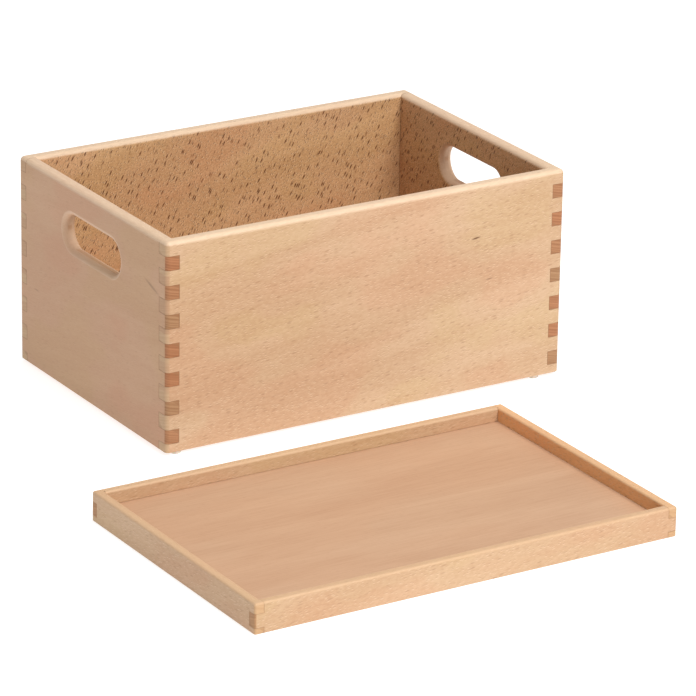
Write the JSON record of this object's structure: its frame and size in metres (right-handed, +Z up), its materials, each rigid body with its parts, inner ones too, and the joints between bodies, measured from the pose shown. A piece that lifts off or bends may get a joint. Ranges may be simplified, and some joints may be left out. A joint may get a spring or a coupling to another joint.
{
  "type": "toolbox with tray",
  "caption": "Open finger-jointed wooden box on small feet with a rounded hand hole in each end, and a loose shallow tray of the same footprint lying beside it.",
  "frame": {"origin": "on the floor, at the middle of the rectangle of ground that the box and the tray take up together", "axes": "+Z up, +X along the long sides of box and tray, +Y from the tray at the front to the box at the back"},
  "size_m": [0.4938, 0.584, 0.183],
  "materials": {
    "beech": "planed and lightly oiled",
    "tray_beech": "planed and lightly oiled",
    "beech_plywood": "sanded veneer",
    "foot_rubber": "soft, slightly see-through"
  },
  "bodies": {
    "box": {"front_board": "beech", "back_board": "beech", "left_end_board": "beech", "right_end_board": "beech", "bottom_panel": "beech_plywood", "foot_front_left": "foot_rubber", "foot_front_right": "foot_rubber", "foot_back_left": "foot_rubber", "foot_back_right": "foot_rubber"},
    "tray": {"tray_front_rail": "tray_beech", "tray_back_rail": "tray_beech", "tray_left_rail": "tray_beech", "tray_right_rail": "tray_beech", "tray_panel": "beech_plywood"}
  },
  "joints": [
    {"name": "tray_lift", "type": "slide", "parent": "box", "child": "tray", "axis": [0, 0, 1], "range_m": [0, 0.2]}
  ]
}
